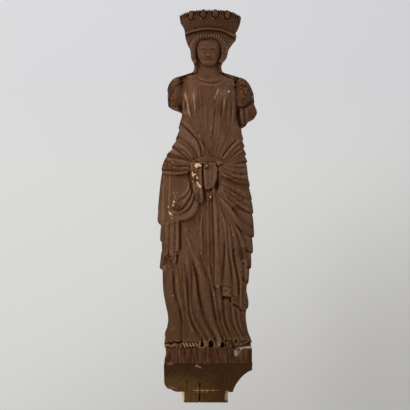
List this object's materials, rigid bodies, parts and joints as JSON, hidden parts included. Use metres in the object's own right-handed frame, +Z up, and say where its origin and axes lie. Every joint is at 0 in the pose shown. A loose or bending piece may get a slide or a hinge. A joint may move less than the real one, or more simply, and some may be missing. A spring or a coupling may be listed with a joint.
{
  "type": "carved caryatid figure",
  "caption": "Flat-backed, half-round carved wooden caryatid with basket capital, draped body, band, cove and foot tenon, made to be fixed against furniture or a chimneypiece.",
  "frame": {"origin": "middle of the flat back", "axes": "+Z up towards the capital, +Y out of the flat back into the wall, -Y out of the carved front, +X to the viewer's right"},
  "size_m": [0.1999, 0.0771, 0.7762],
  "materials": {
    "stained_wood": "dark brown stain and wax, worn to lighter wood on ridges and chips"
  },
  "bodies": {
    "root": {"caryatid": "stained_wood"}
  },
  "joints": []
}
